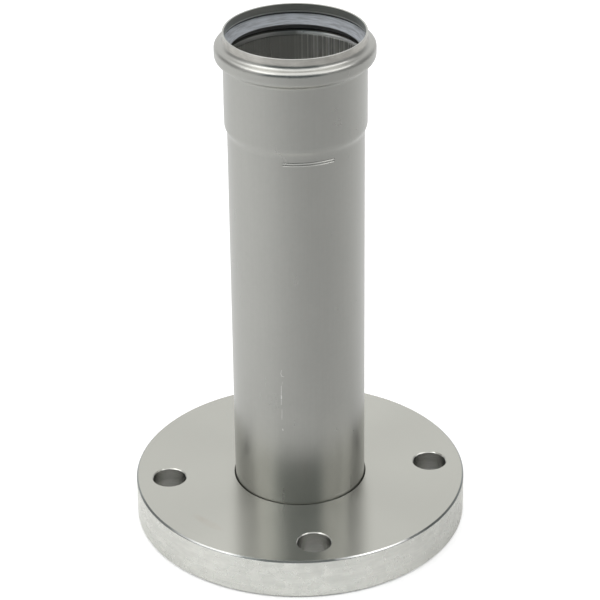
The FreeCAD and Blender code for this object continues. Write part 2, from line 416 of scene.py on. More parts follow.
@dataclass(frozen=True)
class Finish:
    """What all finishes share: a name, a plain colour and how a bump is laid on.

    Args:
        name: the material's name.
        colour: linear base colour.
        roughness: roughness of the plain surface.
        metallic: 1 for bare metal.
        anisotropy: how far the turning marks draw out a reflection.
    """

    name: str
    colour: Colour
    roughness: float
    metallic: float = 1.0
    anisotropy: float = 0.0

    def begin(self) -> tuple[bpy.types.Material, Wiring, bpy.types.Node]:
        """Makes the material with its shader and sets what is the same all over.

        Returns:
            The material, its wiring and its principled shader.
        """
        material = bpy.data.materials.new(self.name)
        material.use_nodes = True
        wires = Wiring(material.node_tree)
        shader = material.node_tree.nodes["Principled BSDF"]
        shader.inputs["Base Color"].default_value = self.colour
        shader.inputs["Roughness"].default_value = self.roughness
        shader.inputs["Metallic"].default_value = self.metallic
        if self.anisotropy:
            shader.inputs["Anisotropic"].default_value = self.anisotropy
            shader.inputs["Anisotropic Rotation"].default_value = QUARTER_TURN
            tangent = wires.add("ShaderNodeTangent", direction_type="RADIAL", axis="Z")
            wires.feed(shader.inputs["Tangent"], tangent.outputs[0])
        return material, wires, shader

    @staticmethod
    def bump(wires: Wiring, shader: bpy.types.Node, layers: list[tuple[object, float]]) -> None:
        """Chains bumps onto the shader's normal.

        Args:
            wires: the material's wiring.
            shader: its principled shader.
            layers: pairs of a height socket and the depth in metres that its full range stands for.
        """
        normal = None
        for height, depth in layers:
            node = wires.add("ShaderNodeBump")
            wires.feed(node.inputs["Height"], height)
            node.inputs["Distance"].default_value = depth
            if normal is not None:
                wires.feed(node.inputs["Normal"], normal)
            normal = node.outputs[0]
        wires.feed(shader.inputs["Normal"], normal)


@dataclass(frozen=True)
class Scuff:
    """One pale line scraped on the tube, from one place on its wall to another.

    Args:
        start: angle in degrees and height in millimetres.
        end: the same for its other end.
        width: its width in millimetres.
        strength: how pale it is, up to 1.
    """

    start: tuple[float, float]
    end: tuple[float, float]
    width: float
    strength: float


SCUFFS = (
    Scuff((-110.4, 112.0), (-111.2, 109.6), 0.32, 0.55),
    Scuff((-111.2, 109.6), (-110.4, 108.0), 0.36, 0.70),
    Scuff((-110.4, 108.0), (-108.4, 108.0), 0.34, 0.60),
    Scuff((-109.6, 104.6), (-110.7, 101.4), 0.26, 0.35),
    Scuff((-110.9, 101.4), (-111.0, 94.4), 0.34, 0.75),
    Scuff((-111.0, 95.4), (-111.0, 93.6), 0.62, 1.00),
    Scuff((-111.0, 93.6), (-111.2, 89.6), 0.34, 0.70),
    Scuff((-110.6, 86.4), (-110.8, 80.0), 0.34, 0.60),
    Scuff((-110.3, 73.6), (-110.0, 73.0), 0.75, 0.70),
    Scuff((-63.7, 26.2), (-30.6, 25.2), 0.40, 0.30),
)


@dataclass(frozen=True)
class PickledTube(Finish):
    """Matte pickled sheet of the formed tube, brushed at the collar and ribbed by the tool inside. Inside,
    one side is painted lit, with a painted glint on its inner root, painted shade darkens the rest of the
    root and the bead's chamber, and a painted highlight line runs above the seal.

    Args:
        name: the material's name.
        colour: linear base colour.
        roughness: roughness of the plain surface.
        collar_colour: colour of the brushed collar.
        inner_colour: colour of the bright inside.
        lip_colour: colour of the collar's inside, above the seal.
        polished_colour: painted highlight on the inner root, on the lit side.
        grime_colour: painted shade on the inner root away from the lit side, and in the bead's chamber.
        scuff_colour: colour of the scrapes on the outside.
        scuff_wear: how strong a scrape is over its broken pattern.
        grime_amount: how strong the painted shade on the inner root is.
        lip_line: brightness of the painted highlight line above the seal.
        cut_amount: how far the sheet's cut edge takes the lip's colour.
        matte_metallic: metallic where the steel is scraped, and under the painted glint.
        polish_matte: how far the painted glint on the inner root takes that metallic.
        cloud_rough: how far the roughness swings over the soft blotches.
        fine_rough: what the fine blotches add to it.
        mark_gloss: how much smoother the handling marks are.
        inner_rough: how much rougher the inside is.
        polish_gloss: how much smoother the inner root is under its painted glint.
        cloud_shade: brightness over the soft blotches.
        fine_shade: what the fine blotches add to it.
        drawn_shade: what the drawn lines add to it.
        collar_blotch: brightness of the collar over its blotches.
        collar_brush: what the brushed lines add to it.
        rib_wave: height of the ribs over their even waves.
        rib_uneven: what their uneven part adds to it.
        rib_valley: brightness between the ribs, painted from the shaded side to the lit side.
        rib_crest: brightness on the ribs, painted from the shaded side to the lit side, where they catch
            painted light.
        rib_range: heights of the ribs where their brightness starts to change and where it ends.
        tooled_side: cosine from tooled_angle where the painted lit side starts and where it is full.
        polished_side: how far into the lit side the painted glint starts and where it is full.
        grimy_side: how far into the lit side the painted shade starts to fade and where it is gone.
        tooled_angle: middle of the side of the socket's inside that is painted as lit.
        rib_count: how many ribs a full turn would hold.
        wall_radius: outside of the plain tube.
        root_floor: where the inner root with its painted glint starts.
        root_top: how high it reaches.
        seal_line: height where the seal's crown meets the wall.
        rim_top: height of the sheet's cut edge.
        socket_floor: height where the socket starts.
        bead_floor: height where the bead starts.
        collar_floor: height where the collar starts.
    """

    collar_colour: Colour = (0.57, 0.555, 0.515, 1.0)
    inner_colour: Colour = (0.78, 0.78, 0.75, 1.0)
    lip_colour: Colour = (0.52, 0.53, 0.50, 1.0)
    polished_colour: Colour = (0.98, 0.98, 0.97, 1.0)
    grime_colour: Colour = (0.07, 0.07, 0.065, 1.0)
    scuff_colour: Colour = (0.86, 0.86, 0.84, 1.0)
    scuff_wear: Span = (0.1, 0.6, 0.45, 1.0)
    grime_amount: float = 0.55
    lip_line: float = 1.7
    cut_amount: float = 0.7
    matte_metallic: float = 0.25
    polish_matte: float = 0.8
    cloud_rough: float = 0.03
    fine_rough: Span = (0.0, 1.0, -0.02, 0.02)
    mark_gloss: float = 0.04
    inner_rough: float = 0.10
    polish_gloss: float = 0.24
    cloud_shade: Span = (0.0, 1.0, 0.965, 1.03)
    fine_shade: Span = (0.0, 1.0, -0.02, 0.02)
    drawn_shade: Span = (0.3, 0.7, -0.014, 0.014)
    collar_blotch: Span = (0.0, 1.0, 0.74, 1.10)
    collar_brush: Span = (0.3, 0.7, -0.11, 0.11)
    rib_wave: Span = (-1.0, 1.0, 0.0, 0.45)
    rib_uneven: Span = (0.38, 0.62, 0.0, 0.55)
    rib_valley: Span = (0.0, 1.0, 0.72, 0.80)
    rib_crest: Span = (0.0, 1.0, 0.74, 1.34)
    rib_range: tuple[float, float] = (0.40, 0.80)
    tooled_side: tuple[float, float] = (0.35, 0.72)
    polished_side: tuple[float, float] = (0.25, 0.8)
    grimy_side: tuple[float, float] = (0.2, 0.6)
    tooled_angle: float = math.radians(22.0)
    rib_count: float = 138.0
    wall_radius: float = 37.5 * MM
    root_floor: float = 282.4 * MM
    root_top: float = 283.8 * MM
    seal_line: float = 294.9 * MM
    rim_top: float = 299.7 * MM
    socket_floor: float = 248.0 * MM
    bead_floor: float = 282.0 * MM
    collar_floor: float = 296.0 * MM

    def scuffed(self, wires: Wiring) -> Socket:
        """The mask of all the scuffs on the outside wall.

        Args:
            wires: the material's wiring.

        Returns:
            The mask's socket.
        """
        angle, radius, height = wires.polar()
        arc = wires.times(angle, self.wall_radius / MM)
        up = wires.times(height, 1.0 / MM)
        rough = CLOUD.put(wires, Scale=2600.0, Sharpness=3.0)
        mask = 0.0
        for scuff in SCUFFS:
            ends = [Vector((math.radians(turn) * self.wall_radius / MM, rise))
                    for turn, rise in (scuff.start, scuff.end)]
            run = ends[1] - ends[0]
            across = wires.minus(arc, ends[0].x)
            along = wires.minus(up, ends[0].y)
            dot = wires.along(across, along, run)
            share = wires.work_out("DIVIDE", dot, run.length_squared, clamp=True)
            off_x = wires.minus(across, wires.times(share, run.x))
            off_y = wires.minus(along, wires.times(share, run.y))
            off = wires.length(off_x, off_y)
            half = scuff.width / 2
            line = wires.ramp(off, half * SCUFF_CORE, half * SCUFF_SPREAD, scuff.strength, 0.0)
            mask = wires.work_out("MAXIMUM", mask, line)
        outside = wires.ramp(radius, self.wall_radius - 0.5 * MM, self.wall_radius - 0.2 * MM)
        worn = wires.times(mask, wires.ramp(rough, *self.scuff_wear))
        return wires.times(worn, outside)

    def polished(self, wires: Wiring, inside: object, tooled: object) -> Socket:
        """The mask of the painted glint on the inner root, on the lit side.

        Args:
            wires: the material's wiring.
            inside: the mask of walls that face the axis.
            tooled: the mask of the side that is painted as lit.

        Returns:
            The mask's socket.
        """
        _, _, height = wires.polar()
        band = wires.inside_band(height, self.root_floor, self.root_top, soft=0.15 * MM)
        root = wires.times(inside, band)
        return wires.times(root, wires.ramp(tooled, *self.polished_side))

    def mouth(self, wires: Wiring, colour: object, inside: object, tooled: object,
              polished: object) -> Socket:
        """Colours the inside of the mouth: a painted glint on the inner root, painted shade on the rest of
        the root and in the bead's chamber, and the lip with a painted highlight line above the seal.

        Args:
            wires: the material's wiring.
            colour: the colour so far.
            inside: the mask of walls that face the axis.
            tooled: the mask of the side that is painted as lit.
            polished: the mask of the painted glint on the inner root.

        Returns:
            The new colour's socket.
        """
        _, _, height = wires.polar()
        # Painted shade: the inner root is darkened away from the lit side.
        dirty = wires.inside_band(height, self.bead_floor - 0.8 * MM, self.root_top + 0.4 * MM, soft=0.2 * MM)
        soiled = wires.times(inside, dirty)
        soiled = wires.times(soiled, wires.ramp(tooled, *self.grimy_side, self.grime_amount, 0.0))
        colour = wires.blend(soiled, colour, self.grime_colour)
        colour = wires.blend(polished, colour, self.polished_colour)
        lip = wires.times(inside, wires.ramp(height, self.seal_line, self.seal_line + 0.2 * MM))
        # Painted highlight: a bright line on the lip's inside just above the seal.
        foot = self.seal_line + 0.3 * MM
        bright = wires.inside_band(height, foot, foot + 0.7 * MM, soft=0.2 * MM)
        dull = wires.tint(self.lip_colour, wires.ramp(bright, 0.0, 1.0, 1.0, self.lip_line))
        colour = wires.blend(lip, colour, dull)
        # Painted shade: the bead's chamber behind the seal is painted dark.
        chamber = wires.inside_band(height, self.root_top, self.seal_line, soft=0.2 * MM)
        colour = wires.blend(wires.times(inside, chamber), colour, self.grime_colour)
        cut = wires.work_out("GREATER_THAN", height, self.rim_top)
        return wires.blend(wires.times(cut, self.cut_amount), colour, self.lip_colour)

    def material(self) -> bpy.types.Material:
        """Builds the tube's material.

        Returns:
            The material.
        """
        material, wires, shader = self.begin()
        angle, _, height = wires.polar()
        inside = wires.faces_axis()
        # Painted light: the mask of the side of the socket's inside that is painted as lit; the ribs are
        # painted brighter there.
        turned = wires.work_out("COSINE", wires.minus(angle, self.tooled_angle))
        tooled = wires.ramp(turned, *self.tooled_side, easing=Easing.SMOOTH)
        in_socket = wires.inside_band(height, self.socket_floor, self.bead_floor, soft=0.4 * MM)
        collar = wires.work_out("GREATER_THAN", height, self.collar_floor)

        cloud = CLOUD.put(wires, Scale=38.0, Sharpness=1.6)
        blotch = CLOUD.put(wires, Scale=110.0, Sharpness=2.4, Shift=9.0)
        fine = CLOUD.put(wires, Scale=420.0, Sharpness=1.8, Shift=3.0)
        drawn = GRAIN.put(wires, Round=60.0, Up=25.0, Out=0.0, Detail=3.0)
        brushed = GRAIN.put(wires, Round=7.0, Up=3200.0, Out=900.0, Detail=3.0)
        waves = wires.work_out("SINE", wires.times(angle, self.rib_count))
        uneven = GRAIN.put(wires, Round=38.0, Up=1.0, Out=0.0, Detail=1.0)
        ribs = wires.layers((waves, self.rib_wave), (uneven, self.rib_uneven))
        marks = HANDLING.put(wires, Scale=36.0, Amount=0.25)

        shade = wires.layers((cloud, self.cloud_shade), (fine, self.fine_shade), (drawn, self.drawn_shade))
        colour = wires.tint(self.colour, shade)
        collar_shade = wires.layers((blotch, self.collar_blotch), (brushed, self.collar_brush))
        colour = wires.blend(collar, colour, wires.tint(self.collar_colour, collar_shade))
        colour = wires.blend(inside, colour, wires.tint(self.inner_colour, shade))
        ribbed = wires.times(inside, in_socket)
        valley = wires.ramp(tooled, *self.rib_valley)
        crest = wires.ramp(tooled, *self.rib_crest)
        rib_shade = wires.ramp(ribs, *self.rib_range, valley, crest)
        colour = wires.blend(ribbed, colour, wires.tint(self.inner_colour, rib_shade))
        # Painted highlight: a near white, less metallic glint on the inner root of the lit side.
        polished = self.polished(wires, inside, tooled)
        colour = self.mouth(wires, colour, inside, tooled, polished)
        scuffs = self.scuffed(wires)
        colour = wires.blend(scuffs, colour, self.scuff_colour)
        wires.feed(shader.inputs["Base Color"], colour)
        matte = wires.work_out("MAXIMUM", scuffs, wires.times(polished, self.polish_matte))
        wires.feed(shader.inputs["Metallic"], wires.ramp(matte, 0.0, 1.0, self.metallic, self.matte_metallic))

        swing = (0.0, 1.0, self.roughness - self.cloud_rough, self.roughness + self.cloud_rough)
        rough = wires.layers((cloud, swing), (fine, self.fine_rough))
        rough = wires.minus(rough, wires.times(marks, self.mark_gloss))
        rough = wires.plus(rough, wires.times(inside, self.inner_rough))
        rough = wires.minus(rough, wires.times(polished, self.polish_gloss))
        wires.feed(shader.inputs["Roughness"], rough)
        self.bump(wires, shader, [
            (fine, 0.003 * MM),
            (wires.times(brushed, collar), 0.020 * MM),
            (wires.times(ribs, ribbed), 0.22 * MM),
            (wires.times(marks, -1.0), 0.0006 * MM),
            (scuffs, 0.05 * MM),
        ])
        return material


@dataclass(frozen=True)
class TurnedPlate(Finish):
    """Face-turned plate: concentric marks on the faces, mottled rim, drilled holes. The edge break carries a
    painted dark reflection and painted highlights, and the holes' walls painted shade.

    Args:
        name: the material's name.
        colour: linear base colour.
        roughness: roughness of the plain surface.
        anisotropy: how far the turning marks draw out a reflection.
        rim_colour: colour of the outer wall.
        drilled_colour: colour of the bolt holes' walls.
        edge_colour: colour of the painted dark reflection on the edge break.
        glint_colour: colour of the painted highlights on the stretches of the edge break that face the lamps.
        glints: those painted highlights, each with its middle and half width in degrees and its strength.
        front_shade: brightness of the painted dark reflection, from the sides to the middle of the front.
        edge_break: width of the edge break.
        smudge_colour: colour of the brown smudge on the upper face.
        smudge_radius: how far from the axis the smudge lies.
        smudge_angle: which way it lies, in radians from +X.
        smudge_fade: its strength over the square of the distance from its middle.
        smudge_wear: how strong it is over its broken pattern.
        smudge_reach: how far it runs out from its middle and round the axis, in metres and radians.
        cloud_shade: brightness of the faces over the soft blotches.
        ring_shade: what the turning marks add to it.
        mottle_shade: brightness of the outer wall over its mottling.
        rim_ring_shade: what its turning marks add to it.
        smear_shade: what its smears add to it.
        drilled_shade: brightness of the holes' walls over their marks.
        deep_shade: brightness of the holes' walls at their lower end, a painted shade that darkens them
            downward.
        rough_swing: how far the roughness swings down and up over the soft blotches.
        mottle_rough: what the mottling adds to the roughness of the outer wall.
        mark_gloss: how much smoother the handling marks are.
        rim_radius: outside of the plate.
        hole_circle: radius of the circle of bolt holes.
        hole_radius: radius of a bolt hole.
        thickness: plate, face to face.
    """

    rim_colour: Colour = (0.82, 0.82, 0.77, 1.0)
    drilled_colour: Colour = (0.70, 0.70, 0.67, 1.0)
    edge_colour: Colour = (0.15, 0.16, 0.155, 1.0)
    glint_colour: Colour = (0.95, 0.95, 0.93, 1.0)
    glints: tuple[tuple[float, float, float], ...] = ((-131.0, 16.0, 0.60), (-70.0, 15.0, 0.95))
    front_shade: Span = (0.55, 0.85, 2.0, 1.0)
    edge_break: float = 1.0 * MM
    smudge_colour: Colour = (0.50, 0.44, 0.37, 1.0)
    smudge_radius: float = 76.5 * MM
    smudge_angle: float = math.radians(-139.0)
    smudge_fade: Span = (0.0, 1.0, 0.30, 0.0)
    smudge_wear: Span = (0.2, 0.8, 0.3, 1.0)
    smudge_reach: tuple[float, float] = (3.5 * MM, math.radians(11.0))
    cloud_shade: Span = (0.0, 1.0, 0.975, 1.02)
    ring_shade: Span = (0.3, 0.7, -0.02, 0.02)
    mottle_shade: Span = (0.0, 1.0, 0.94, 1.03)
    rim_ring_shade: Span = (0.3, 0.7, -0.03, 0.03)
    smear_shade: Span = (0.35, 0.65, -0.05, 0.03)
    drilled_shade: Span = (0.3, 0.7, 0.82, 1.15)
    deep_shade: float = 0.80
    rough_swing: tuple[float, float] = (0.02, 0.03)
    mottle_rough: Span = (0.0, 1.0, 0.02, 0.14)
    mark_gloss: float = 0.03
    rim_radius: float = 95.25 * MM
    hole_circle: float = 76.2 * MM
    hole_radius: float = 9.525 * MM
    thickness: float = 23.9 * MM

    def smudged(self, wires: Wiring) -> Socket:
        """The mask of a faint brown smudge drawn out round the axis.

        Args:
            wires: the material's wiring.

        Returns:
            The mask's socket.
        """
        angle, radius, height = wires.polar()
        off = wires.work_out("DIVIDE", wires.minus(radius, self.smudge_radius), self.smudge_reach[0])
        away = wires.work_out("DIVIDE", wires.minus(angle, self.smudge_angle), self.smudge_reach[1])
        square = wires.along(off, away, (off, away))
        spot = wires.ramp(square, *self.smudge_fade, easing=Easing.SMOOTH)
        uneven = wires.ramp(CLOUD.put(wires, Scale=170.0, Sharpness=2.0, Shift=11.0), *self.smudge_wear)
        top = wires.work_out("GREATER_THAN", height, self.thickness / 2)
        return wires.times(wires.times(spot, uneven), top)

    def edged(self, wires: Wiring, colour: object) -> Socket:
        """Colours the outer edge break with a painted dark reflection, and painted highlights on the
        stretches that face the lamps.

        Args:
            wires: the material's wiring.
            colour: the colour so far.

        Returns:
            The new colour's socket.
        """
        angle, radius, height = wires.polar()
        inner = self.rim_radius - self.edge_break
        outer = wires.work_out("GREATER_THAN", radius, inner - 0.1 * MM)
        upper = wires.inside_band(height, self.thickness - self.edge_break + 0.05 * MM,
                                  self.thickness - 0.05 * MM, soft=0.04 * MM)
        # Painted reflection: the edge break is painted dark, darkest in the middle of the front, with painted
        # highlights in the glint stretches.
        ahead = wires.work_out("COSINE", wires.plus(angle, math.pi / 2))
        dull = wires.tint(self.edge_colour, wires.ramp(ahead, *self.front_shade))
        glint = 0.0
        for middle, half, strength in self.glints:
            off = wires.work_out("COSINE", wires.minus(angle, math.radians(middle)))
            ends = (math.cos(math.radians(half)), math.cos(math.radians(half * GLINT_CORE)))
            stretch = wires.ramp(off, *ends, 0.0, strength)
            glint = wires.work_out("MAXIMUM", glint, stretch)
        crest = wires.ramp(height, self.thickness - 0.8 * MM, self.thickness - 0.6 * MM)
        glint = wires.times(glint, crest)
        slope = wires.times(upper, outer)
        return wires.blend(slope, colour, wires.blend(glint, dull, self.glint_colour))

    def near_hole(self, wires: Wiring, reach: float) -> Socket:
        """A mask of the four bolt holes and a little round them.

        Args:
            wires: the material's wiring.
            reach: how far the mask runs past the hole's wall.

        Returns:
            The mask's socket.
        """
        across, deep, _ = wires.place()
        far = wires.work_out("MAXIMUM", wires.work_out("ABSOLUTE", across), wires.work_out("ABSOLUTE", deep))
        near = wires.work_out("MINIMUM", wires.work_out("ABSOLUTE", across), wires.work_out("ABSOLUTE", deep))
        off = wires.minus(far, self.hole_circle)
        return wires.work_out("LESS_THAN", wires.length(off, near), self.hole_radius + reach)

    def material(self) -> bpy.types.Material:
        """Builds the plate's material.

        Returns:
            The material.
        """
        material, wires, shader = self.begin()
        _, radius, height = wires.polar()
        rim = wires.work_out("GREATER_THAN", radius, self.rim_radius - 0.2 * MM)
        hole = self.near_hole(wires, 0.15 * MM)
        under = wires.work_out("LESS_THAN", height, 0.5 * MM)

        cloud = CLOUD.put(wires, Scale=30.0, Sharpness=1.4, Shift=7.0)
        mottle = CLOUD.put(wires, Scale=150.0, Sharpness=2.6, Shift=2.0)
        fine = CLOUD.put(wires, Scale=900.0, Sharpness=1.6, Shift=5.0)
        rings = GRAIN.put(wires, Round=2.0, Up=0.0, Out=5200.0, Detail=3.0)
        rim_rings = GRAIN.put(wires, Round=4.0, Up=2600.0, Out=0.0, Detail=3.0)
        smears = GRAIN.put(wires, Round=9.0, Up=330.0, Out=0.0, Detail=3.0)
        marks = HANDLING.put(wires, Scale=28.0, Amount=0.15)

        face = wires.tint(self.colour, wires.layers((cloud, self.cloud_shade), (rings, self.ring_shade)))
        wall = wires.tint(self.rim_colour, wires.layers(
            (mottle, self.mottle_shade), (rim_rings, self.rim_ring_shade), (smears, self.smear_shade)))
        # Painted shade: the holes' walls darken towards their lower end.
        depth = wires.ramp(height, 0.0, self.thickness, self.deep_shade, 1.0)
        depth = wires.times(depth, wires.ramp(rim_rings, *self.drilled_shade))
        drilled = wires.tint(self.drilled_colour, depth)
        face = wires.blend(self.smudged(wires), face, self.smudge_colour)
        colour = self.edged(wires, wires.blend(rim, face, wall))
        colour = wires.blend(hole, colour, drilled)
        wires.feed(shader.inputs["Base Color"], colour)

        down, up = self.rough_swing
        rough = wires.plus(wires.ramp(cloud, 0.0, 1.0, self.roughness - down, self.roughness + up),
                           wires.times(rim, wires.ramp(mottle, *self.mottle_rough)))
        rough = wires.minus(rough, wires.times(marks, self.mark_gloss))
        wires.feed(shader.inputs["Roughness"], rough)
        faces = wires.minus(1.0, wires.work_out("MAXIMUM", rim, hole))
        serrated = wires.times(under, rings)
        self.bump(wires, shader, [
            (wires.times(rings, faces), 0.004 * MM),
            (wires.times(mottle, rim), 0.035 * MM),
            (wires.times(rim_rings, wires.work_out("MAXIMUM", rim, hole)), 0.010 * MM),
            (serrated, 0.03 * MM),
            (fine, 0.003 * MM),
            (wires.times(marks, -1.0), 0.0006 * MM),
        ])
        return material


@dataclass(frozen=True)
class WeldBead(Finish):
    """As-welded bead: rippled, with a faint heat tint that fades from its toes.

    Args:
        name: the material's name.
        colour: linear base colour.
        roughness: roughness of the plain surface.
        tint_colour: colour of the heat tint.
        tint_amount: how strong it is over the soft blotches.
        fine_shade: brightness over the fine blotches.
        rough_swing: how far the roughness swings down and up.
    """

    tint_colour: Colour = (0.42, 0.30, 0.17, 1.0)
    tint_amount: Span = (0.35, 0.9, 0.0, 0.55)
    fine_shade: Span = (0.0, 1.0, 0.88, 1.08)
    rough_swing: tuple[float, float] = (0.06, 0.08)

    def material(self) -> bpy.types.Material:
        """Builds the weld's material.

        Returns:
            The material.
        """
        material, wires, shader = self.begin()
        cloud = CLOUD.put(wires, Scale=220.0, Sharpness=2.0, Shift=1.0)
        fine = CLOUD.put(wires, Scale=1800.0, Sharpness=1.5, Shift=4.0)
        shade = wires.ramp(fine, *self.fine_shade)
        colour = wires.blend(wires.ramp(cloud, *self.tint_amount), self.colour, self.tint_colour)
        wires.feed(shader.inputs["Base Color"], wires.tint(colour, shade))
        down, up = self.rough_swing
        rough = wires.ramp(cloud, 0.0, 1.0, self.roughness - down, self.roughness + up)
        wires.feed(shader.inputs["Roughness"], rough)
        self.bump(wires, shader, [(fine, 0.02 * MM)])
        return material


@dataclass(frozen=True)
class GreasedRubber(Finish):
    """Dark rubber with a smeared pale film of lubricant, laid only on the faces that look up: a real film and
    painted light on the lit top.

    Args:
        name: the material's name.
        colour: linear colour of the bare rubber.
        roughness: roughness of the plain surface.
        film_colour: colour of the film, which also stands for painted light on the top faces.
        film_smear: how thick the film is over its drawn smears.
        film_cloud: what is left of that over the soft blotches.
        film_gloss: how much smoother the film is than the rubber.
        film_slope: the upright part of the normal at which a face carries the full film and its painted top
            light.
    """

    film_colour: Colour = (0.49, 0.515, 0.55, 1.0)
    film_smear: Span = (0.32, 0.60, 0.45, 1.08)
    film_cloud: Span = (0.0, 1.0, 0.88, 1.0)
    film_gloss: float = 0.12
    film_slope: float = 0.35

    def material(self) -> bpy.types.Material:
        """Builds the seal's material.

        Returns:
            The material.
        """
        material, wires, shader = self.begin()
        geometry = wires.add("ShaderNodeNewGeometry")
        facing = wires.add("ShaderNodeSeparateXYZ")
        wires.feed(facing.inputs[0], geometry.outputs["Normal"])
        # Painted light: the pale film lies only on faces that look up, so the top is painted lighter and the
        # underside stays dark.
        up = wires.ramp(facing.outputs[2], 0.0, self.film_slope, easing=Easing.SMOOTH)
        smear = GRAIN.put(wires, Round=5.0, Up=1500.0, Out=1300.0, Detail=4.0)
        cloud = CLOUD.put(wires, Scale=160.0, Sharpness=2.0, Shift=6.0)
        film = wires.times(wires.ramp(smear, *self.film_smear), wires.ramp(cloud, *self.film_cloud))
        film = wires.times(film, up)
        wires.feed(shader.inputs["Base Color"], wires.blend(film, self.colour, self.film_colour))
        rough = wires.ramp(film, 0.0, 1.0, self.roughness, self.roughness - self.film_gloss)
        wires.feed(shader.inputs["Roughness"], rough)
        self.bump(wires, shader, [(smear, 0.02 * MM), (cloud, 0.01 * MM)])
        return material


@dataclass
class SocketTube:
    """The formed tube with its socket, bead and collar.

    Args:
        node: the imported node.
        finish: its finish.
    """

    node: str = "socket_tube"
    finish: PickledTube = field(default_factory=lambda: PickledTube(
        "pickled_tube_steel", (0.445, 0.445, 0.42, 1.0), 0.30, anisotropy=0.4))

    def build(self) -> None:
        """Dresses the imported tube."""
        dress(self.node, self.finish.material())


@dataclass
class PlateFlange:
    """The turned and drilled plate.

    Args:
        node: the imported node.
        finish: its finish.
    """

    node: str = "flange"
    finish: TurnedPlate = field(default_factory=lambda: TurnedPlate(
        "turned_flange_steel", (0.55, 0.551, 0.505, 1.0), 0.20, anisotropy=1.0))

    def build(self) -> None:
        """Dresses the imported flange."""
        dress(self.node, self.finish.material())


@dataclass
class WeldRing:
    """The weld at the tube's foot, with the ripples of its passes.

    Args:
        node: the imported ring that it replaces.
        finish: its finish.
        ripples: how many ripples run round it.
        steps_per_ripple: sections for each ripple.
        ripple_depth: how far the crown is drawn in between two ripples.
        bore_radius: the flange's bore under the gap, which the weld fills.
        tube_bore: inside of the tube.
        toe: height of the weld's lower toe, at the bore.
        tube_end: height of the tube's end, where the upper toe lies.
        root_top: how far up the weld reaches between the tube and the bore.
        wall_radius: outside of the tube.
        crown: how far the crown stands out of the line from toe to toe.
        crown_points: points along the crown.
        ripple_mean: the share of the full depth about which the ripples swell and shrink.
        ripple_waves: how many times round they do so, in two waves that multiply.
    """

    node: str = "weld_ring"
    finish: WeldBead = field(default_factory=lambda: WeldBead("welded_steel", (0.42, 0.41, 0.38, 1.0), 0.38))
    ripples: int = 150
    steps_per_ripple: int = 6
    ripple_depth: float = 0.10 * MM
    bore_radius: float = 38.0 * MM
    tube_bore: float = 36.5 * MM
    toe: float = 0.5 * MM
    tube_end: float = 3.0 * MM
    root_top: float = 4.5 * MM
    wall_radius: float = 37.5 * MM
    crown: float = 0.46 * MM
    crown_points: int = 9
    ripple_mean: float = 0.75
    ripple_waves: tuple[float, float] = (23.0, 7.0)

    def section(self, ripple: float) -> list[tuple[float, float]]:
        """The weld's section at one place round the tube.

        Args:
            ripple: how far the crown is drawn in there, in metres.

        Returns:
            Closed outline as pairs of radius and height.
        """
        outline = [(self.bore_radius, self.root_top), (self.wall_radius, self.root_top),
                   (self.wall_radius, self.tube_end)]
        run = Vector((self.bore_radius - self.tube_bore, self.toe - self.tube_end))
        outward = Vector((run.y, -run.x)).normalized()
        for number in range(self.crown_points):
            share = number / (self.crown_points - 1)
            rise = 4 * share * (1 - share)
            bulge = outward * (self.crown - ripple) * rise
            spot = Vector((self.tube_bore, self.tube_end)) + run * share + bulge
            outline.append((spot.x, spot.y))
        return outline

    def build(self) -> None:
        """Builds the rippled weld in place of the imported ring."""
        steps = self.ripples * self.steps_per_ripple
        short_wave, long_wave = self.ripple_waves
        shape = bmesh.new()
        rings = []
        for number in range(steps):
            turn = math.tau * number / steps
            phase = (number % self.steps_per_ripple) / self.steps_per_ripple
            swell = math.sin(turn * short_wave) * math.sin(turn * long_wave + 1.0)
            uneven = self.ripple_mean + (1.0 - self.ripple_mean) * swell
            ring = [shape.verts.new((across * math.cos(turn), across * math.sin(turn), up))
                    for across, up in self.section(self.ripple_depth * phase * uneven)]
            rings.append(ring)
        count = len(rings[0])
        for number, ring in enumerate(rings):
            following = rings[(number + 1) % steps]
            for corner in range(count):
                after = (corner + 1) % count
                shape.faces.new((ring[corner], ring[after], following[after], following[corner]))
        bmesh.ops.recalc_face_normals(shape, faces=shape.faces)
        for face in shape.faces:
            face.smooth = True
        mesh = bpy.data.meshes.new("weld_bead")
        shape.to_mesh(mesh)
        shape.free()
        piece = bpy.data.objects.new("weld_bead", mesh)
        bpy.context.scene.collection.objects.link(piece)
        mesh.materials.append(self.finish.material())
        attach(piece, "root")
        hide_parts(self.node)
        log.info("%s: %d faces in place of %s", piece.name, len(mesh.polygons), self.node)


@dataclass
class SealRing:
    """The rubber lip ring in the bead.

    Args:
        node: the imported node.
        finish: its finish.
    """

    node: str = "seal_ring"
    finish: GreasedRubber = field(default_factory=lambda: GreasedRubber(
        "greased_seal_rubber", (0.17, 0.171, 0.172, 1.0), 0.55, metallic=0.0))

    def build(self) -> None:
        """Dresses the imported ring."""
        dress(self.node, self.finish.material())


def dress(node: str, material: bpy.types.Material) -> None:
    """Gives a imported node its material.

    Args:
        node: the node's name.
        material: the finished material.
    """
    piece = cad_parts[node]
    if not piece.material_slots:
        piece.data.materials.append(material)
    for slot in piece.material_slots:
        slot.material = material
    log.info("%s: %s", node, material.name)


@dataclass(frozen=True)
class Softbox:
    """One rectangular lamp.

    Args:
        name: the lamp's name.
        place: where it hangs.
        aim: the point that it faces.
        width: its width.
        depth: its other side.
        power: watts.
    """

    name: str
    place: tuple[float, float, float]
    aim: tuple[float, float, float]
    width: float
    depth: float
    power: float


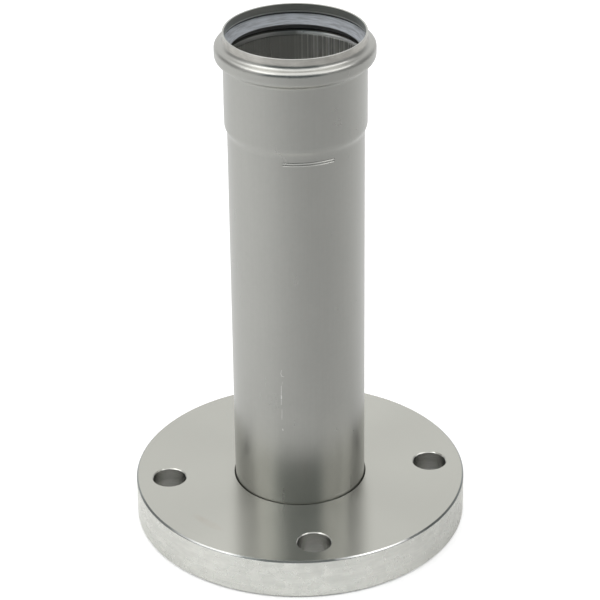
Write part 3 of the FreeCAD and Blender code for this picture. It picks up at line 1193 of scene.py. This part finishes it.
@dataclass
class Studio:
    """Floor, light and camera. The tent's heights run from 0 at the horizon to 1 overhead.

    Args:
        camera_place: where the camera stands.
        camera_aim: the point that it faces.
        camera_roll: its turn about its own axis.
        lens: its focal length in millimetres.
        sensor: width of its sensor in millimetres.
        floor_size: side of the floor.
        floor_drop: how far it lies under the sealing face.
        floor_roughness: roughness of the floor.
        floor_gloss: its specular level.
        floor_seen: what the floor's colour and its own light add up to where the camera sees it.
        floor_shine: what the floor adds in reflections.
        dim_towards: direction of the floor's darkest side.
        floor_round: the floor's colour by how far a point lies round to that side.
        floor_out: what its distance to that side adds.
        floor_far: what a great distance adds.
        apron_radius: outside of the floor's disc next to the part, which the flange's rim reflects.
        apron_soft: width of its edge.
        apron_across: its colour from left to right.
        gap_towards: direction of the gap in the tent's front.
        gap_half_angle: half its width.
        gap_floor: where it starts.
        gap_roof: where it ends.
        gap_soft: softness of its edge at the sides, and above and below.
        gap_level: light from the gap.
        gap_tint: its colour in reflections.
        skirt_roof: top of the dim lower wall and the softness of its edge.
        flank_roof: top of the dim sides and the softness of their edge.
        flank_from: where a dim side starts, as an angle from the gap.
        flank_to: where it ends.
        flank_soft: width of its edge.
        dim_level: light from the skirt and the flanks.
        horizon_soft: height over which they start at the horizon.
        side_reach: how far out the walls reach their own level.
        left_level: light from the left wall.
        right_level: light from the right wall.
        roof_from: where the roof starts and where it is full.
        roof_level: light from the roof.
        back_from: where the back wall starts and where it is full.
        back_level: light from the back wall.
        lamp_ways: directions of the two pairs of round lamps.
        lamp_half_angle: half the width of a round lamp.
        lamp_soft: width of its edge.
        lamp_level: light from a round lamp.
        softboxes: the rectangular lamps.
    """

    camera_place: tuple[float, float, float] = (-0.12307, -1.26156, 0.83285)
    camera_aim: tuple[float, float, float] = (0.00109, -0.00010, 0.13638)
    camera_roll: float = math.radians(-0.655)
    lens: float = 154.21
    sensor: float = 36.0
    floor_size: float = 6.0
    floor_drop: float = 0.1 * MM
    floor_roughness: float = 0.9
    floor_gloss: float = 0.1
    floor_seen: float = 1.18
    floor_shine: float = 0.06
    dim_towards: tuple[float, float] = (0.55, -0.835)
    floor_round: tuple[Span, ...] = ((-0.6, 0.2, 0.85, 0.735), (0.2, 1.0, 0.0, -0.215))
    floor_out: Span = (0.38, 0.50, 0.0, -0.03)
    floor_far: Span = (1.0, 2.0, 0.0, 0.40)
    apron_radius: float = 0.146
    apron_soft: float = 0.006
    apron_across: tuple[Span, ...] = ((-0.06, -0.015, 0.84, 0.93), (0.01, 0.09, 0.0, -0.25))
    gap_towards: tuple[float, float] = (-0.19, -0.9818)
    gap_half_angle: float = math.radians(42.0)
    gap_floor: float = 0.03
    gap_roof: float = 0.68
    gap_soft: tuple[float, float] = (0.05, 0.06)
    gap_level: float = 0.05
    gap_tint: Colour = (0.45, 0.90, 1.0, 1.0)
    skirt_roof: tuple[float, float] = (0.16, 0.06)
    flank_roof: tuple[float, float] = (0.47, 0.08)
    flank_from: float = math.radians(78.0)
    flank_to: float = math.radians(124.0)
    flank_soft: float = 0.12
    dim_level: float = 0.38
    horizon_soft: float = 0.02
    side_reach: float = 0.8
    left_level: float = 0.75
    right_level: float = 0.38
    roof_from: tuple[float, float] = (0.55, 0.85)
    roof_level: float = 0.90
    back_from: tuple[float, float] = (0.3, 0.9)
    back_level: float = 0.94
    lamp_ways: tuple[tuple[float, float, float], ...] = (
        (-0.50, -0.26, 0.826), (0.50, -0.26, 0.826), (-0.60, -0.01, 0.80), (0.64, -0.01, 0.768))
    lamp_half_angle: float = math.radians(11.0)
    lamp_soft: float = 0.05
    lamp_level: float = 2.6
    softboxes: tuple[Softbox, ...] = (
        Softbox("overhead_softbox", (-0.25, 0.0, 1.5), (0.0, 0.0, 0.1), 1.6, 1.5, 6.0),
    )

    def place_camera(self) -> None:
        """Sets the camera up at the photograph's viewing angle."""
        data = bpy.data.cameras.new("camera")
        data.lens = self.lens
        data.sensor_width = self.sensor
        camera = bpy.data.objects.new("camera", data)
        bpy.context.scene.collection.objects.link(camera)
        camera.location = self.camera_place
        ahead = Vector(self.camera_aim) - Vector(self.camera_place)
        level = ahead.to_track_quat("-Z", "Y")
        camera.rotation_mode = "QUATERNION"
        camera.rotation_quaternion = Quaternion(ahead.normalized(), -self.camera_roll) @ level
        bpy.context.scene.camera = camera

    def lay_floor(self) -> None:
        """Lays the pale floor. Seen directly it is lifted to white, and it keeps the part's shadow."""
        half = self.floor_size / 2
        mesh = bpy.data.meshes.new("floor")
        corners = [(across * half, deep * half, -self.floor_drop)
                   for across, deep in ((-1, -1), (1, -1), (1, 1), (-1, 1))]
        mesh.from_pydata(corners, [], [(0, 1, 2, 3)])
        floor = bpy.data.objects.new("floor", mesh)
        bpy.context.scene.collection.objects.link(floor)
        material = bpy.data.materials.new("pale_floor")
        material.use_nodes = True
        wires = Wiring(material.node_tree)
        shader = material.node_tree.nodes["Principled BSDF"]
        across, deep, _ = wires.place()
        # Painted shade on the floor: its colour darkens towards dim_towards and to either side of the apron's
        # middle, which the part shows in its reflections; seen directly the floor is lifted to white.
        towards = wires.along(across, deep, self.dim_towards)
        _, away, _ = wires.polar()
        turned = wires.work_out("DIVIDE", towards, wires.work_out("MAXIMUM", away, LEAST_RADIUS))
        beyond = wires.layers(*((turned, span) for span in self.floor_round), (towards, self.floor_out))
        beyond = wires.plus(beyond, wires.ramp(towards, *self.floor_far, easing=Easing.SMOOTH))
        apron = wires.layers(*((across, span) for span in self.apron_across))
        past = wires.ramp(away, self.apron_radius, self.apron_radius + self.apron_soft)
        level = wires.blend_values(past, apron, beyond)
        pale = wires.add("ShaderNodeCombineColor")
        for channel in range(3):
            wires.feed(pale.inputs[channel], level)
        wires.feed(shader.inputs["Base Color"], pale.outputs[0])
        shader.inputs["Roughness"].default_value = self.floor_roughness
        shader.inputs["Specular IOR Level"].default_value = self.floor_gloss
        path = wires.add("ShaderNodeLightPath")
        lift = wires.minus(self.floor_seen, level)
        seen = wires.times(path.outputs["Is Camera Ray"], lift)
        through = wires.times(path.outputs["Is Transmission Ray"], lift)
        shine = wires.times(path.outputs["Is Glossy Ray"], self.floor_shine)
        glow = wires.plus(wires.plus(seen, through), shine)
        shader.inputs["Emission Color"].default_value = WHITE
        wires.feed(shader.inputs["Emission Strength"], glow)
        mesh.materials.append(material)

    def light_world(self) -> None:
        """Surrounds the part with a light tent, which the camera itself sees as plain white.

        The walls, the back and the roof are pale. The front has the dark gap that the camera looks
        through, both flanks and the low skirt are dim, and two pairs of round lamps hang inside.
        """
        world = bpy.data.worlds.new("light_tent")
        bpy.context.scene.world = world
        world.use_nodes = True
        wires = Wiring(world.node_tree)
        background = world.node_tree.nodes["Background"]
        coordinates = wires.add("ShaderNodeTexCoord")
        parts = wires.add("ShaderNodeSeparateXYZ")
        wires.feed(parts.inputs[0], coordinates.outputs["Generated"])
        across, deep, up = parts.outputs
        flat = wires.length(across, deep)
        facing = wires.along(across, deep, self.gap_towards)
        facing = wires.work_out("DIVIDE", facing, wires.work_out("MAXIMUM", flat, LEAST_LENGTH))
        edge = math.cos(self.gap_half_angle)
        open_side = wires.ramp(facing, edge - self.gap_soft[0], edge + self.gap_soft[0], easing=Easing.SMOOTH)
        gap = wires.times(open_side, wires.inside_band(up, self.gap_floor, self.gap_roof, self.gap_soft[1]))
        walls = wires.ramp(across, -self.side_reach, self.side_reach, self.left_level, self.right_level)
        roof = wires.ramp(up, *self.roof_from, easing=Easing.SMOOTH)
        walls = wires.blend_values(roof, walls, self.roof_level)
        back = wires.ramp(deep, *self.back_from, easing=Easing.SMOOTH)
        walls = wires.blend_values(back, walls, self.back_level)
        skirt, low = (wires.ramp(up, top - soft, top + soft, 1.0, 0.0, easing=Easing.SMOOTH)
                      for top, soft in (self.skirt_roof, self.flank_roof))
        flank = wires.inside_band(facing, math.cos(self.flank_to), math.cos(self.flank_from), self.flank_soft)
        skirt = wires.times(skirt, wires.minus(1.0, back))
        dim = wires.work_out("MAXIMUM", wires.times(flank, low), skirt)
        above = wires.ramp(up, -self.horizon_soft, self.horizon_soft)
        walls = wires.blend_values(wires.times(dim, above), walls, self.dim_level)
        level = wires.blend_values(gap, walls, self.gap_level)
        for way in self.lamp_ways:
            lamp = wires.add("ShaderNodeVectorMath", operation="DOT_PRODUCT")
            wires.feed(lamp.inputs[0], coordinates.outputs["Generated"])
            lamp.inputs[1].default_value = Vector(way).normalized()
            disc = wires.ramp(lamp.outputs["Value"], math.cos(self.lamp_half_angle + self.lamp_soft),
                              math.cos(self.lamp_half_angle - self.lamp_soft), easing=Easing.SMOOTH)
            level = wires.blend_values(disc, level, self.lamp_level)
        path = wires.add("ShaderNodeLightPath")
        tinted = wires.times(gap, wires.minus(1.0, path.outputs["Is Camera Ray"]))
        wires.feed(background.inputs["Color"], wires.blend(tinted, WHITE, self.gap_tint))
        level = wires.blend_values(path.outputs["Is Camera Ray"], level, 1.0)
        wires.feed(background.inputs["Strength"], level)

    def hang_softboxes(self) -> None:
        """Hangs each lamp and turns it to its aim."""
        for box in self.softboxes:
            data = bpy.data.lights.new(box.name, "AREA")
            data.shape = "RECTANGLE"
            data.size = box.width
            data.size_y = box.depth
            data.energy = box.power
            lamp = bpy.data.objects.new(box.name, data)
            bpy.context.scene.collection.objects.link(lamp)
            lamp.location = box.place
            lamp.rotation_mode = "QUATERNION"
            lamp.rotation_quaternion = (Vector(box.aim) - Vector(box.place)).to_track_quat("-Z", "Y")

    def build(self) -> None:
        """Builds the whole studio."""
        self.place_camera()
        self.lay_floor()
        self.light_world()
        self.hang_softboxes()
        bpy.context.scene.view_settings.view_transform = "Standard"
        log.info("studio: floor, surround, %d softboxes and the camera", len(self.softboxes))


def main() -> None:
    """Builds the studio and dresses every piece in order."""
    logging.basicConfig(level=logging.INFO, format="%(name)s: %(message)s")
    Studio().build()
    for piece in (SocketTube(), PlateFlange(), WeldRing(), SealRing()):
        piece.build()


GRAIN = grain_effect()
CLOUD = cloud_effect()
HANDLING = handling_effect()

if __name__ == "__main__":
    main()
